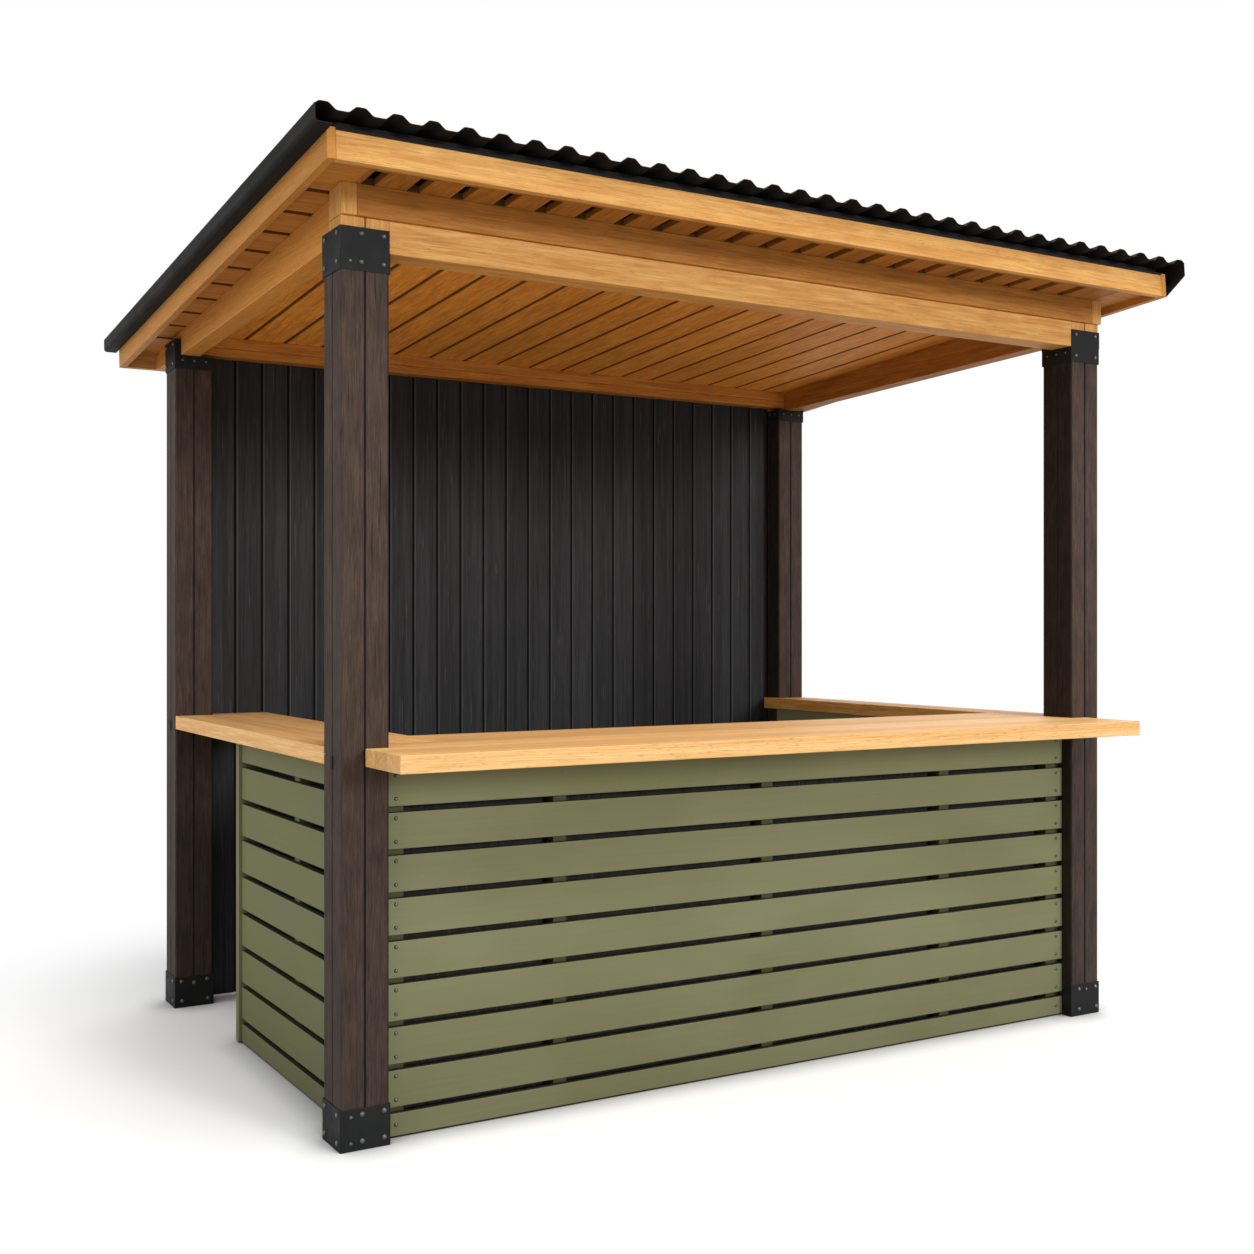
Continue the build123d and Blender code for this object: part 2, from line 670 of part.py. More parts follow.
def pieces():
    """Every piece by its name."""
    made = {
        "front_beam_lower": front_beam_lower(),
        "front_beam_upper": front_beam_upper(),
        "post_heads": Compound(children=[post_head(side) for side in SIDES.values()]),
        "corner_blocks": Compound(children=[corner_block(side) for side in SIDES.values()]),
        "rear_beam": rear_beam(),
        "ceiling_boards": ceiling_boards(),
        "soffit_front": soffit_front(),
        "soffit_rear": soffit_rear(),
        "fascia_front": fascia(FASCIA_FRONT),
        "fascia_rear": fascia(FASCIA_REAR - FASCIA),
        "roof_battens": roof_battens(),
        "roof_sheet": roof_sheet(),
        "eave_flashings": eave_flashings(),
        "counter_front": counter_front(),
        "front_slats": front_slats(),
        "front_uprights": front_uprights(),
        "panel_linings": panel_linings(),
        "back_wall": back_wall(),
        "back_wall_rails": back_wall_rails(),
    }
    front_middle = FRONT + POST / 2
    rear_middle = REAR - POST / 2
    front_rise = FRONT_CAP_RISE_SHARE * LOWER_BEAM
    rear_rise = REAR_CAP_RISE_SHARE * REAR_BEAM_HEIGHT
    for name, side in SIDES.items():
        x = side * POST_MIDDLE
        made[f"post_front_{name}"] = post(x, front_middle, FRONT_POST_TOP)
        made[f"post_rear_{name}"] = post(x, rear_middle, REAR_POST_TOP)
        made[f"shoe_front_{name}"] = shoe(x, front_middle)
        made[f"shoe_rear_{name}"] = shoe(x, rear_middle)
        made[f"cap_front_{name}"] = cap(side, x, front_middle, FRONT_POST_TOP, FRONT_CAP_LAP, front_rise, -1)
        made[f"cap_rear_{name}"] = cap(side, x, rear_middle, REAR_POST_TOP, REAR_CAP_LAP, rear_rise, 1)
        made[f"side_beam_{name}"] = side_beam(side)
        made[f"soffit_{name}"] = soffit_side(side)
        made[f"barge_board_{name}"] = barge_board(side)
        made[f"verge_flashing_{name}"] = verge_flashing(side)
        made[f"counter_{name}"] = counter_wing(side)
        made[f"{name}_slats"] = side_slats(side)
        made[f"{name}_uprights"] = side_uprights(side)
    return made


os.makedirs("parts", exist_ok=True)
for node, shape in pieces().items():
    export_step(shape, f"parts/{node}.step")
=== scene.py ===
import math
from typing import NamedTuple

import bmesh
import bpy
from mathutils import Matrix, Vector


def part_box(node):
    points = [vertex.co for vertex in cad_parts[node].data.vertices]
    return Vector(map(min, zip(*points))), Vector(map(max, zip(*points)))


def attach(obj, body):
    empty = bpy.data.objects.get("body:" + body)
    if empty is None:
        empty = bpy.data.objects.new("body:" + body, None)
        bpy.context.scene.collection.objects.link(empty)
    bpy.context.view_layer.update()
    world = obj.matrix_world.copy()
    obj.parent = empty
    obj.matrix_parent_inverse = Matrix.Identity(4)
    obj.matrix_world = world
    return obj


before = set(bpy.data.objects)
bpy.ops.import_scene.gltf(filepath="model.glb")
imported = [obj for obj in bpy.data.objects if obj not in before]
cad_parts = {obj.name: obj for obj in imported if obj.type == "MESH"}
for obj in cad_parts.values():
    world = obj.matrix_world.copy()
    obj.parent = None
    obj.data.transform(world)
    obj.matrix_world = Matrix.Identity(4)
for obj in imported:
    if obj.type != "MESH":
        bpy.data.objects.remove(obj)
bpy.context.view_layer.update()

# Camera: its place in metres, its tilt and turn in degrees, its lens and sensor in millimetres
CAMERA_PLACE = (-2.877, -4.9128, 1.4345)
CAMERA_TILT = 90.0
CAMERA_TURN = -30.63
CAMERA_LENS = 42.92
CAMERA_SENSOR = 36.0

# Light: the sky's level on every side, and broad lamps, each by its level and then in degrees its
# azimuth from the front, its elevation and its spread
SKY_LEVEL = 0.37
LAMPS = {
    "key": (0.47, 18.0, 12.0, 14.0),
    "top": (0.62, 10.0, 64.0, 40.0),
    "fill": (0.30, -78.0, 24.0, 50.0),
    "back": (0.20, 140.0, 30.0, 50.0),
}

# Floor: how pale it looks, how much light it hands on, where it turns to plain white, and the shade
# beside what stands on it
FLOOR_REACH = 60.0
FLOOR_LEVEL = 1.0
FLOOR_BOUNCE = 0.52
FLOOR_ROUGHNESS = 0.9
FADE_START = 1.6
FADE_END = 3.0
CONTACT_REACH = 0.13
CONTACT_STRENGTH = 0.85
CONTACT_SAMPLES = 6

# Boards that share a node, in metres, and how far at most the grain of one is shifted along
CEILING_BOARD = 0.1535
CEILING_START = 0.02975
WALL_BOARD = 0.1065
COUNTER_STAVE = 0.092
BOARD_SHIFT = 40.0

# Roof sheet: the pitch and the crest of its ribs, its turned edge and its thickness
RIB_PITCH = 0.100
RIB_CREST = 0.026
EDGE_TURN_WIDTH = 0.009
SHEET = 0.002

# Screws of the slats: how far they stand from a slat's end, and their places as shares of its height,
# with fewer on a slat that is cut below a share of the full height
SLAT_SCREW_INSET = 0.033
SLAT_SCREW_SHARES = (0.2, 0.84)
CUT_SLAT_SHARE = 0.8
CUT_SLAT_SCREW_SHARES = (0.5,)

# Heads of bolts and screws: radii, rises, how deep they sit, and the sides of round and hexagon ones
LARGE_BOLT = 0.0074
SMALL_BOLT = 0.0052
SLAT_SCREW = 0.0058
DOME_RISE_SHARE = 0.7
COLLAR_RISE_SHARE = 0.25
DOME_RINGS = 3
SEAT = 0.0004
WASHER = 0.0085
WASHER_RISE = 0.0016
HEX_HEAD = 0.0052
HEX_TOP_SHARE = 0.8
HEX_RISE = 0.0048
ROUND_SIDES = 14
HEX_SIDES = 6

# Plates that tie the wings to the posts: half width, half height, rise, level, eased edge, the share
# of the rise below that edge, the sides of the outline, and the place of the bolt beside each as a
# share of the post's depth from its middle
TIE_WIDTH = 0.008
TIE_HEIGHT = 0.019
TIE_RISE = 0.004
TIE_LEVEL = 1.061
TIE_EDGE = 0.0012
TIE_SIDE_SHARE = 0.7
TIE_SIDES = 16
TIE_BOLT_SHARE = 0.37

# Bolts on the steel plates: share of the width from the left or front, share of the height, radius
CORNER_SHARES = (
    (0.16, 0.86, LARGE_BOLT), (0.84, 0.86, LARGE_BOLT),
    (0.16, 0.20, LARGE_BOLT), (0.84, 0.20, LARGE_BOLT),
)
SHOE_FACE_SHARES = {
    "shoe_front_left": (
        (0.21, 0.82, SMALL_BOLT), (0.43, 0.86, LARGE_BOLT), (0.87, 0.86, LARGE_BOLT),
        (0.21, 0.19, SMALL_BOLT), (0.43, 0.22, LARGE_BOLT), (0.87, 0.22, LARGE_BOLT),
    ),
    "shoe_front_right": (
        (0.27, 0.86, LARGE_BOLT), (0.53, 0.82, SMALL_BOLT), (0.85, 0.86, LARGE_BOLT),
        (0.27, 0.22, LARGE_BOLT), (0.88, 0.22, LARGE_BOLT),
    ),
    "shoe_rear_left": (
        (0.17, 0.86, LARGE_BOLT), (0.49, 0.78, LARGE_BOLT), (0.83, 0.86, LARGE_BOLT),
        (0.19, 0.22, LARGE_BOLT), (0.85, 0.22, LARGE_BOLT),
    ),
    "shoe_rear_right": CORNER_SHARES,
}
SHOE_INNER_SHARES = ((0.5, 0.84, SMALL_BOLT),)
CAP_FACE_SHARES = {
    "cap_front_left": (
        (0.42, 0.86, LARGE_BOLT), (0.86, 0.86, LARGE_BOLT),
        (0.20, 0.20, SMALL_BOLT), (0.42, 0.20, LARGE_BOLT), (0.86, 0.20, LARGE_BOLT),
    ),
    "cap_front_right": CORNER_SHARES,
}
SLEEVE_SHARES = ((0.2, 0.3, SMALL_BOLT), (0.5, 0.3, SMALL_BOLT), (0.8, 0.3, SMALL_BOLT))

# Eased edges of the CAD nodes, the angle of an edge that is eased, and what counts as one point or
# one flat face
COUNTER_EASE = 0.0025
BEAM_EASE = 0.002
SLAT_EASE = 0.0015
BOARD_EASE = 0.0012
POST_EASE = 0.001
PLATE_EASE = 0.0006
EASE_ANGLE = 35.0
FLAT_ANGLE = 0.5
SAME_POINT = 0.00002

# Dark lines at the posts' seams and the boards' joints: half the line, the painted highlight on the edge
# beside it, and where the line fades as shares of its half
POST_SEAM = 0.0026
POST_SEAM_SHARES = (1.1, 0.8)
CEILING_SEAM = 0.0105
WALL_SEAM = 0.0057
WALL_EDGE_HIGHLIGHT = 0.007
JOINT_CORE_SHARE = 0.8

# Painted shade on the posts' faces that are turned to the middle of the bar: their level, across the width
# and in depth, and the product of turn and place where a face is fully inward and where it no longer is
INNER_SIDE_SHADE = 0.4
INNER_FACE_SHADE = 0.9
INWARD_TURN = (-0.3, -0.1)

# Painted shade toward the ground: the level that it leaves at the foot, and how far up it reaches
POST_GROUND_SHADE = (0.66, 2.3)
PAINT_GROUND_SHADE = (0.77, 0.6)
STEEL_GROUND_SHADE = (0.66, 0.4)

# Patterns of the finishes: repeats in a metre along the grain and across it
MOTTLES = (5.0, 46.0)
COUNTER_MOTTLES = (1.0, 46.0)
WING_MOTTLES = (1.5, 46.0)
GROWTH_RINGS = (0.6, 20.0)
TIMBER_FIBRES = (7.0, 330.0)
FLECKS = (30.0, 260.0)
KNOTS = (1.6, 8.0)
POST_FIBRES = (16.0, 330.0)
POST_STREAKS = (7.0, 170.0)
POST_BLOTCHES = (9.0, 22.0)
POST_CRACKS = (2.6, 150.0)
BRUSH_LINES = (2.0, 150.0)
PAINT_CLOUDS = (1.1, 2.2)
PAINT_SPECKS = (60.0, 90.0)
WALL_FIBRES = (6.0, 240.0)
WALL_STREAKS = (0.9, 30.0)
WALL_SCUFFS = (5.0, 160.0)
STEEL_PEEL = (420.0, 420.0)
STEEL_PATCHES = (14.0, 14.0)
SHEET_RUNS = (1.2, 40.0)
SHEET_PATCHES = (5.0, 9.0)
BOLT_SCRATCHES = (900.0, 900.0)
BOLT_PATCHES = (160.0, 160.0)

# Ranges that a pattern's noise is read over: fibres for colour and for gloss, clouds and patches
FIBRE_RANGE = (0.25, 0.75)
GLOSS_RANGE = (0.2, 0.8)
CLOUD_RANGE = (0.35, 0.65)
PATCH_RANGE = (0.3, 0.7)

# Where in its noise a mark begins, and where it is full
MOTTLE_LIMITS = (0.32, 0.68)
GROWTH_LIMITS = (0.03, 0.47)
FLECK_LIMITS = (0.62, 0.68)
KNOT_LIMITS = (0.075, 0.025)
STREAK_LIMITS = (0.36, 0.68)
CRACK_LIMITS = (0.655, 0.70)
SPECK_LIMITS = (0.70, 0.78)
SCUFF_LIMITS = (0.66, 0.73)
DUST_RUN_LIMITS = (0.45, 0.75)
DUST_PATCH_LIMITS = (0.35, 0.7)

# Where a face or an edge begins to be turned a way, and where it fully is
ASIDE_TURN = (0.5, 0.9)
LEVEL_TURN = (0.8, 0.98)
INSIDE_TURN = (0.0, -0.1)
UPPER_EDGE = (0.05, 0.4)
LOWER_EDGE = (-0.05, -0.4)

# Timber: how many growth lines its slow noise is cut into, how pale its mottles and growth lines make
# it, and the strength of its flecks and knots
GROWTH_LINES = 12.0
MOTTLE_PALENESS = (0.05, 0.7)
GROWTH_PALENESS = 0.28
FLECK_STRENGTH = 0.32
KNOT_STRENGTH = 0.5

# Posts: how far the stain is worn by streaks and by blotches
STREAK_WEAR = (0.1, 0.5)
BLOTCH_WEAR = (0.0, 0.3)

# How far the fibres, brush lines, boards or patches of a finish darken and lighten it
TIMBER_LEVELS = (0.84, 1.14)
POST_LEVELS = (0.72, 1.28)
PAINT_LEVELS = (0.975, 1.025)
WALL_LEVELS = (0.74, 1.26)
WALL_BOARD_LEVELS = (0.88, 1.12)
STEEL_LEVELS = (0.82, 1.16)
BOLT_LEVELS = (0.55, 1.2)

# Roughness of a finish, from the low end of its pattern to the high end
TIMBER_ROUGHNESS = (0.68, 0.50)
POST_ROUGHNESS = (0.80, 0.60)
PAINT_ROUGHNESS = (0.60, 0.72)
WALL_ROUGHNESS = (0.74, 0.56)
STEEL_ROUGHNESS = (0.50, 0.66)
SHEET_ROUGHNESS = (0.64, 0.78)
BOLT_ROUGHNESS = (0.18, 0.30)

# How alike the softened and the true direction are on a face, and where an edge is fully worn
EDGE_LIKENESS = (0.985, 0.75)
EDGE_SAMPLES = 4

# Relief of the finishes, and the width of their worn edges, in metres. On timber the pale edges are also a
# painted highlight; on paint the edges carry a painted highlight above and painted shade below.
TIMBER_RELIEF = 0.0004
POST_RELIEF = 0.0006
PAINT_RELIEF = 0.00015
WALL_RELIEF = 0.0005
STEEL_RELIEF = 0.0001
SHEET_RELIEF = 0.0002
BOLT_RELIEF = 0.00005
TIMBER_WEAR_AND_HIGHLIGHT = 0.004
POST_WEAR = 0.003
PAINT_EDGE_LIGHT_AND_SHADE = 0.005
STEEL_WEAR = 0.0025
SHEET_WEAR = 0.003


def srgb(red, green, blue):
    """A colour given as it shows on a screen, in the shader's own terms."""
    levels = [level / 255 for level in (red, green, blue)]
    return [v / 12.92 if v <= 0.04045 else ((v + 0.055) / 1.055) ** 2.4 for v in levels] + [1.0]


KNOT = srgb(122, 70, 28)
# Dark brown for the painted shade in slots and for the dark joints between boards
SLOT_SHADE_AND_JOINT_DARK = srgb(50, 27, 9)
DARK_STAIN = srgb(52, 41, 35)
WORN_STAIN = srgb(88, 71, 62)
STAIN_CRACK = srgb(18, 14, 12)
GREEN_PAINT = srgb(126, 126, 93)
# Green of the side slats, darker than the front: painted shade
GREEN_SIDE_PAINTED_SHADE = srgb(123, 124, 84)
GREEN_SHADE = srgb(117, 117, 83)
# Pale green for worn specks and for the painted highlight on upper edges, dark green for painted shade
GREEN_WORN_AND_HIGHLIGHT = srgb(150, 150, 112)
GREEN_PAINTED_SHADE = srgb(62, 63, 46)
# Painted shade on the slats' upper faces, down in the gaps
SLAT_GAP_SHADE = srgb(28, 27, 19)
CHARCOAL = srgb(47, 47, 48)
CHARCOAL_DEEP = srgb(37, 37, 38)
# Pale charcoal for scuffs and for the painted highlight beside each joint
CHARCOAL_WORN_AND_HIGHLIGHT = srgb(96, 97, 97)
CHARCOAL_JOINT = srgb(9, 9, 9)
STEEL = srgb(33, 34, 34)
STEEL_WORN = srgb(74, 76, 76)
SHEET_BLACK = srgb(29, 28, 27)
SHEET_DUST = srgb(54, 52, 50)
BOLT_STEEL = srgb(66, 66, 65)

# Tones of timber: its pale and its deep colour. The amber tones are painted shade: the deeper colour that
# wood shows where it lies in shade.
PALE_AMBER_SHADE_TINT = srgb(222, 150, 62)
DEEP_TIMBER = srgb(205, 138, 62)
LIGHT = (srgb(238, 181, 103), DEEP_TIMBER)
WARM_PAINTED_SHADE = (PALE_AMBER_SHADE_TINT, DEEP_TIMBER)
AMBER_PAINTED_SHADE = (PALE_AMBER_SHADE_TINT, srgb(186, 111, 34))
OILED = (srgb(240, 194, 130), srgb(217, 160, 93))

# Which of X, Y and Z lies along the grain, and which two lie across it
GRAIN_AXES = {"x": ("X", "Y", "Z"), "y": ("Y", "X", "Z"), "z": ("Z", "X", "Y")}


class Boards(NamedTuple):
    """Boards in a row: the axis that they lie across, their width and where the first one starts."""

    axis: str
    width: float
    start: float


class Posts(NamedTuple):
    """Half the distance between the posts' middles, across and in depth, and the depth halfway."""

    half_width: float
    half_depth: float
    halfway: float


class Finish:
    """One procedural material. Its calls add nodes and hand back the sockets that they end in."""

    def __init__(self, name, specular):
        self.material = bpy.data.materials.new(name)
        self.material.use_nodes = True
        self.tree = self.material.node_tree
        self.shader = self.tree.nodes["Principled BSDF"]
        self.shader.inputs["Specular IOR Level"].default_value = specular
        self.place = self.add("TexCoord").outputs["Object"]

    def add(self, kind, settings=None, **sources):
        """A node of one kind, with its settings, and its inputs named or numbered as in in_0."""
        node = self.tree.nodes.new(f"ShaderNode{kind}")
        for name, value in (settings or {}).items():
            setattr(node, name, value)
        for name, source in sources.items():
            key = int(name[3:]) if name.startswith("in_") else name
            self.put(node.inputs[key], source)
        return node

    def put(self, socket, source):
        if isinstance(source, bpy.types.NodeSocket):
            self.tree.links.new(source, socket)
        else:
            socket.default_value = source

    def math(self, operation, first, second=0.0):
        return self.add("Math", {"operation": operation}, in_0=first, in_1=second).outputs[0]

    def vector_math(self, operation, first, second):
        return self.add("VectorMath", {"operation": operation}, in_0=first, in_1=second).outputs

    def span(self, value, low, high, start=0.0, end=1.0):
        """A value carried from one range to another, held at its ends."""
        node = self.add("MapRange", {"interpolation_type": "SMOOTHSTEP"}, Value=value)
        for name, limit in (("From Min", low), ("From Max", high), ("To Min", start), ("To Max", end)):
            self.put(node.inputs[name], limit)
        return node.outputs[0]

    def cover(self, colour, coat, mask, strength=1.0):
        """A colour under a coat that lies where the mask is 1, as thick as its strength."""
        share = self.math("MULTIPLY", mask, strength)
        node = self.add("Mix", {"data_type": "RGBA"}, in_0=share, in_6=colour, in_7=coat)
        return node.outputs[2]

    def shade(self, colour, level):
        return self.add("VectorMath", {"operation": "SCALE"}, in_0=colour, Scale=level).outputs[0]

    def split(self, vector):
        return self.add("SeparateXYZ", None, Vector=vector).outputs

    def turn(self):
        """Which way a face is turned, as its parts along X, Y and Z."""
        return self.split(self.add("NewGeometry").outputs["True Normal"])

    def stretch(self, vector, repeats):
        """Coordinates scaled by a pattern's repeats along the grain and across it."""
        along, square = repeats
        return self.vector_math("MULTIPLY", vector, (along, square, square))[0]

    def noise(self, vector, repeats, detail=3.0, roughness=0.55, distortion=0.0):
        node = self.add("TexNoise", None, Vector=self.stretch(vector, repeats), Scale=1.0, Detail=detail)
        self.put(node.inputs["Roughness"], roughness)
        self.put(node.inputs["Distortion"], distortion)
        return node.outputs[0]

    def across_boards(self, boards):
        """A place across the boards, counted in boards."""
        past = self.math("SUBTRACT", self.split(self.place)[boards.axis], boards.start)
        return self.math("DIVIDE", past, boards.width)

    def lot(self, boards):
        """A number from 0 to 1 for each board."""
        index = self.math("FLOOR", self.across_boards(boards))
        return self.add("TexWhiteNoise", {"noise_dimensions": "1D"}, W=index).outputs[0]

    def grain(self, axis, lot=None):
        """Coordinates with the grain along X, moved along it by each board's lot."""
        parts = self.split(self.place)
        run, *across = [parts[name] for name in GRAIN_AXES[axis]]
        if lot is not None:
            run = self.math("ADD", run, self.math("MULTIPLY", lot, BOARD_SHIFT))
        return self.add("CombineXYZ", None, X=run, Y=across[0], Z=across[1]).outputs[0]

    def past_joint(self, boards):
        """How far a place lies past the start of its board."""
        return self.math("MULTIPLY", self.math("FRACT", self.across_boards(boards)), boards.width)

    def joint(self, boards, half):
        """1 in the joints between boards, to half a joint at either side."""
        past = self.past_joint(boards)
        beside = self.math("MINIMUM", past, self.math("SUBTRACT", boards.width, past))
        return self.span(beside, half, JOINT_CORE_SHARE * half)

    def post_seam(self, posts):
        """1 at the seams down the middle of the posts' faces."""
        parts = self.split(self.place)
        across = self.math("SUBTRACT", self.math("ABSOLUTE", parts["X"]), posts.half_width)
        depth = self.math("ABSOLUTE", self.math("SUBTRACT", parts["Y"], posts.halfway))
        depth = self.math("SUBTRACT", depth, posts.half_depth)
        nearest = self.math("MINIMUM", self.math("ABSOLUTE", across), self.math("ABSOLUTE", depth))
        return self.span(nearest, *[share * POST_SEAM for share in POST_SEAM_SHARES])

    def soft_normal(self, radius):
        """The surface's direction, as if its edges were rounded by a radius."""
        return self.add("Bevel", {"samples": EDGE_SAMPLES}, Radius=radius).outputs[0]

    def edges(self, soft):
        """1 at the piece's edges and 0 on its faces, from its soft normal."""
        true = self.add("NewGeometry").outputs["Normal"]
        likeness = self.vector_math("DOT_PRODUCT", soft, true)[1]
        return self.span(likeness, *EDGE_LIKENESS)

    def worn(self, radius):
        """1 within a radius of the piece's edges."""
        return self.edges(self.soft_normal(radius))

    def ground_shade(self, colour, level, reach):
        """A colour that darkens toward the ground: painted shade."""
        return self.shade(colour, self.span(self.split(self.place)["Z"], 0.0, reach, level, 1.0))

    def finish(self, colour, roughness, height, depth):
        """Joins the colour, the roughness and a relief of some depth to the shader."""
        bump = self.add("Bump", None, Strength=1.0, Distance=depth, Height=height).outputs[0]
        self.put(self.shader.inputs["Base Color"], colour)
        self.put(self.shader.inputs["Roughness"], roughness)
        self.put(self.shader.inputs["Normal"], bump)
        return self.material


# Materials

def timber(name, axis, tones, level, boards=None, spread=0.08, recess_shade=None, seam=0.0, posts=None,
           mottles=MOTTLES):
    """Oiled timber: mottled tone, growth lines, fibre, short flecks, a few knots and pale sanded edges,
    partly wear and partly a painted highlight.

    axis is the way of the grain, and spread how far the boards differ in level. level is painted light and
    shade: how bright the piece is made for where it stands. recess_shade gives the painted shade on the
    upright faces of joints and slots, along the slope and across it. seam is half the dark line at each
    joint. posts places the seams of pieces that stand on the posts.
    """
    wood = Finish(name, specular=0.25)
    pale, deep = tones
    lot = wood.lot(boards) if boards else None
    line = wood.grain(axis, lot)
    mottle = wood.noise(line, mottles, detail=5.0, roughness=0.66, distortion=0.3)
    rings = wood.noise(line, GROWTH_RINGS, distortion=0.5)
    bands = wood.math("PINGPONG", wood.math("MULTIPLY", rings, GROWTH_LINES), 0.5)
    growth = wood.span(bands, *GROWTH_LIMITS)
    fibre = wood.noise(line, TIMBER_FIBRES, detail=4.0, roughness=0.72)
    paleness = wood.span(mottle, *MOTTLE_LIMITS, *MOTTLE_PALENESS)
    tone = wood.math("ADD", paleness, wood.math("MULTIPLY", growth, GROWTH_PALENESS))
    colour = wood.cover(deep, pale, tone)
    colour = wood.shade(colour, wood.span(fibre, *FIBRE_RANGE, *TIMBER_LEVELS))
    if boards:
        colour = wood.shade(colour, wood.span(lot, 0.0, 1.0, 1.0 - spread, 1.0 + spread))
    fleck = wood.span(wood.noise(line, FLECKS, detail=2.0, roughness=0.6), *FLECK_LIMITS)
    cells = wood.add("TexVoronoi", None, Vector=wood.stretch(line, KNOTS), Scale=1.0).outputs["Distance"]
    knot = wood.span(cells, *KNOT_LIMITS)
    fleck = wood.math("MULTIPLY", fleck, FLECK_STRENGTH)
    dark = wood.math("MAXIMUM", fleck, wood.math("MULTIPLY", knot, KNOT_STRENGTH))
    colour = wood.cover(colour, KNOT, dark)
    # Pale edges: wear, and a painted highlight along the eased edges.
    colour = wood.cover(colour, pale, wood.worn(TIMBER_WEAR_AND_HIGHLIGHT), strength=0.5)
    # The piece's level: painted light and shade, as bright as the piece looks where it stands.
    colour = wood.shade(colour, level)
    if seam:
        colour = wood.cover(colour, SLOT_SHADE_AND_JOINT_DARK, wood.joint(boards, seam), strength=0.6)
    if posts:
        colour = wood.cover(colour, SLOT_SHADE_AND_JOINT_DARK, wood.post_seam(posts), strength=0.75)
    # Painted shade on the upright faces of slots and joints, where little light reaches.
    if recess_shade:
        along, across = recess_shade
        turn = wood.turn()
        sides = wood.span(wood.math("ABSOLUTE", turn["X"]), *ASIDE_TURN, 0.0, along)
        ends = wood.span(wood.math("ABSOLUTE", turn["Y"]), *ASIDE_TURN, 0.0, across)
        colour = wood.cover(colour, SLOT_SHADE_AND_JOINT_DARK, wood.math("MAXIMUM", ends, sides))
    rough = wood.span(fibre, *GLOSS_RANGE, *TIMBER_ROUGHNESS)
    height = wood.math("SUBTRACT", wood.math("ADD", fibre, growth), dark)
    return wood.finish(colour, rough, height, TIMBER_RELIEF)


def stained_post(posts):
    """Dark stain worn along the fibre and the corners, with drying cracks and a seam down each face.

    The faces turned to the middle of the bar are darker: painted shade.
    """
    wood = Finish("stained_post", specular=0.15)
    line = wood.grain("z")
    fibre = wood.noise(line, POST_FIBRES, detail=5.0, roughness=0.72)
    streak = wood.noise(line, POST_STREAKS, detail=4.0, roughness=0.65, distortion=0.5)
    blotch = wood.noise(line, POST_BLOTCHES, detail=4.0, roughness=0.6)
    streak_wear = wood.span(streak, *STREAK_LIMITS, *STREAK_WEAR)
    wear = wood.math("ADD", streak_wear, wood.span(blotch, *CLOUD_RANGE, *BLOTCH_WEAR))
    colour = wood.cover(DARK_STAIN, WORN_STAIN, wear)
    colour = wood.shade(colour, wood.span(fibre, *FIBRE_RANGE, *POST_LEVELS))
    crack = wood.span(wood.noise(line, POST_CRACKS, roughness=0.6, distortion=0.6), *CRACK_LIMITS)
    colour = wood.cover(colour, STAIN_CRACK, crack, strength=0.7)
    colour = wood.cover(colour, WORN_STAIN, wood.worn(POST_WEAR), strength=0.2)
    colour = wood.cover(colour, STAIN_CRACK, wood.post_seam(posts), strength=0.85)
    parts = wood.split(wood.place)
    turn = wood.turn()
    sideways = wood.math("MULTIPLY", turn["X"], parts["X"])
    backward = wood.math("MULTIPLY", turn["Y"], wood.math("SUBTRACT", parts["Y"], posts.halfway))
    # Painted shade on the faces turned to the middle of the bar.
    for turned, shade in ((sideways, INNER_SIDE_SHADE), (backward, INNER_FACE_SHADE)):
        colour = wood.shade(colour, wood.span(turned, *INWARD_TURN, shade, 1.0))
    # Darker toward the ground: painted shade.
    colour = wood.ground_shade(colour, *POST_GROUND_SHADE)
    rough = wood.span(fibre, *GLOSS_RANGE, *POST_ROUGHNESS)
    return wood.finish(colour, rough, wood.math("SUBTRACT", fibre, crack), POST_RELIEF)


def green_paint(name, axis, dark=0.0, main=GREEN_PAINT):
    """Eggshell paint over planed boards: brush lines, upper edges paler as a painted highlight, lower edges
    and tops darker as painted shade.

    dark is how much painted shade lies all over it.
    """
    paint = Finish(name, specular=0.12)
    line = paint.grain(axis)
    brush = paint.noise(line, BRUSH_LINES, roughness=0.6)
    cloud = paint.noise(line, PAINT_CLOUDS)
    speck = paint.span(paint.noise(line, PAINT_SPECKS, detail=2.0), *SPECK_LIMITS)
    colour = paint.cover(GREEN_SHADE, main, paint.span(cloud, *CLOUD_RANGE))
    colour = paint.shade(colour, paint.span(brush, *FIBRE_RANGE, *PAINT_LEVELS))
    colour = paint.cover(colour, GREEN_WORN_AND_HIGHLIGHT, speck, strength=0.18)
    soft = paint.soft_normal(PAINT_EDGE_LIGHT_AND_SHADE)
    edge = paint.edges(soft)
    rise = paint.split(soft)["Z"]
    # Upper edges paler and lower edges darker: painted highlight and painted shade.
    colour = paint.cover(colour, GREEN_WORN_AND_HIGHLIGHT, edge, strength=paint.span(rise, *UPPER_EDGE, 0.0, 0.5))
    colour = paint.cover(colour, GREEN_PAINTED_SHADE, edge, strength=paint.span(rise, *LOWER_EDGE, 0.0, 0.8))
    # Painted shade all over, as much as dark gives.
    colour = paint.cover(colour, GREEN_PAINTED_SHADE, dark)
    # Darker toward the ground: painted shade.
    colour = paint.ground_shade(colour, *PAINT_GROUND_SHADE)
    # The slats' upper faces in the gaps: painted shade.
    colour = paint.cover(colour, SLAT_GAP_SHADE, paint.span(paint.turn()["Z"], *LEVEL_TURN), strength=0.85)
    rough = paint.span(cloud, *PATCH_RANGE, *PAINT_ROUGHNESS)
    return paint.finish(colour, rough, brush, PAINT_RELIEF)


